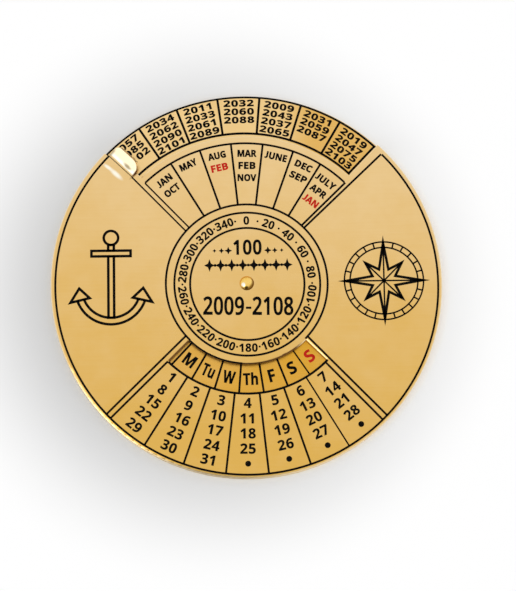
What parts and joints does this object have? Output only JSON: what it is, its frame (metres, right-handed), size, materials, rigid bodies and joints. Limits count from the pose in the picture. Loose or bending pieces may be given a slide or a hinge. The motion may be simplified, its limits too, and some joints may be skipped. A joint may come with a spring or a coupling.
{
  "type": "perpetual desk calendar",
  "caption": "Round brass perpetual calendar: a pierced front plate with a thumb tab turns on a centre rivet over a year disc, so that years, weekdays and dates line up.",
  "frame": {"origin": "centre of the flat back face of the year disc, on the rivet's axis", "axes": "+Z out of the printed face along the rivet, +Y from the centre to the middle of the year notch, +X to the right as the calendar is read"},
  "size_m": [0.076, 0.076, 0.0037],
  "materials": {
    "front_plate_brass": "fine horizontal brushing under clear lacquer, black printed marks",
    "year_disc_brass": "satin, warmer than the front plate, black printed marks",
    "rivet_brass": "polished dome",
    "washer_fibre": "plain red-brown fibre"
  },
  "bodies": {
    "year_scale": {"year_disc": "year_disc_brass", "spacer_washer": "washer_fibre", "centre_rivet": "rivet_brass"},
    "dial_plate": {"front_plate": "front_plate_brass"}
  },
  "joints": [
    {"name": "plate_turn", "type": "hinge", "parent": "year_scale", "child": "dial_plate", "pos_m": [0, 0, 0], "axis": [0, 0, 1], "continuous": true}
  ]
}
